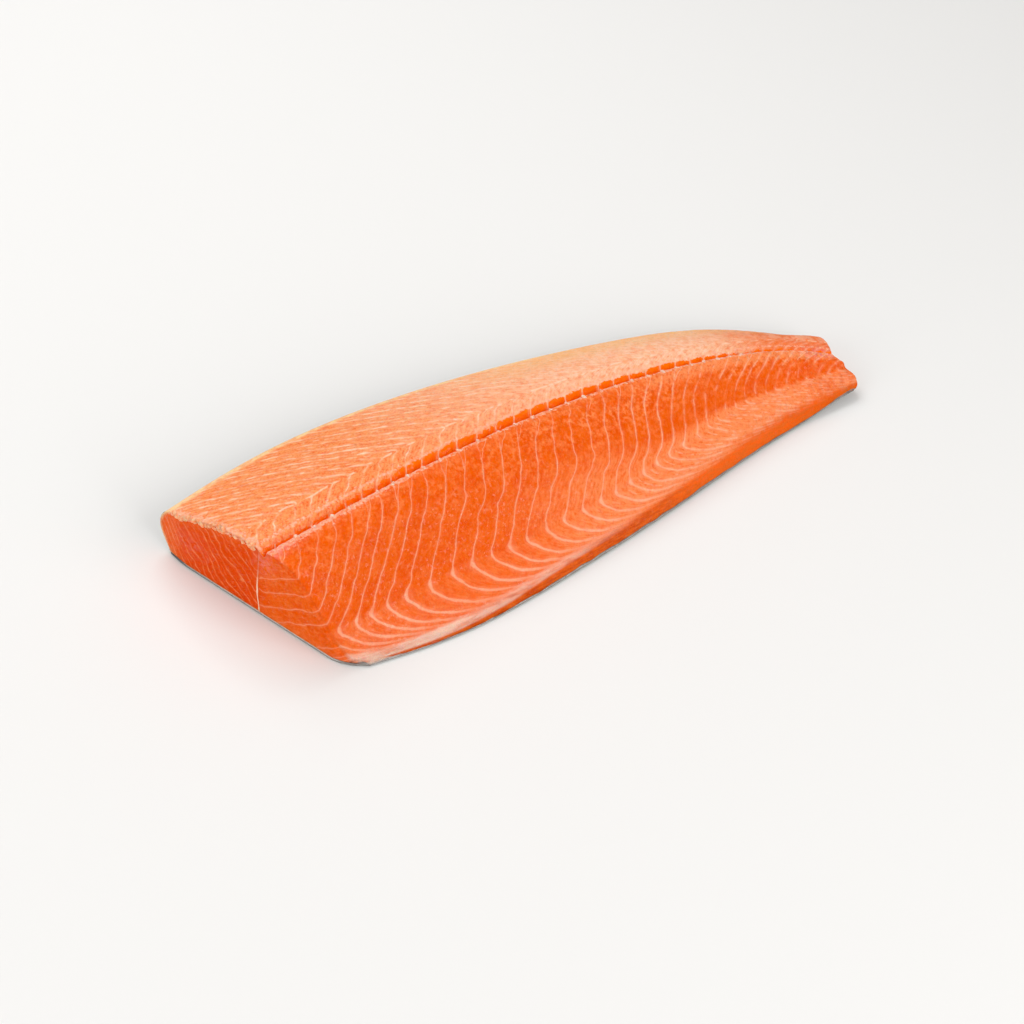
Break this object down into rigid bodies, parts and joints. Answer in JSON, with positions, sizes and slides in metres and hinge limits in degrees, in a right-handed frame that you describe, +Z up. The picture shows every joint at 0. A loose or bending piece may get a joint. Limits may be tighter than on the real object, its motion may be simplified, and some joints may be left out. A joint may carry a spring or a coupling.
{
  "type": "raw salmon fillet",
  "caption": "Rear half of a raw salmon side: a thick slanted cut at the head end, a spine groove along the top, tapering to a thin tail, lying on its skin.",
  "frame": {"origin": "under the middle of the bounding box, on the surface that the fillet lies on", "axes": "+X along the fillet from the thick head-end cut to the tail, +Y across it towards the back of the fish, +Z up, away from the skin"},
  "size_m": [0.3334, 0.1178, 0.0428],
  "materials": {
    "flesh": "moist, satin, slightly translucent raw fish flesh with thin pale fat lines",
    "skin": "thin wet scaled fish skin, silver at the belly and dark grey at the back"
  },
  "bodies": {
    "root": {"fillet": "flesh"}
  },
  "joints": []
}
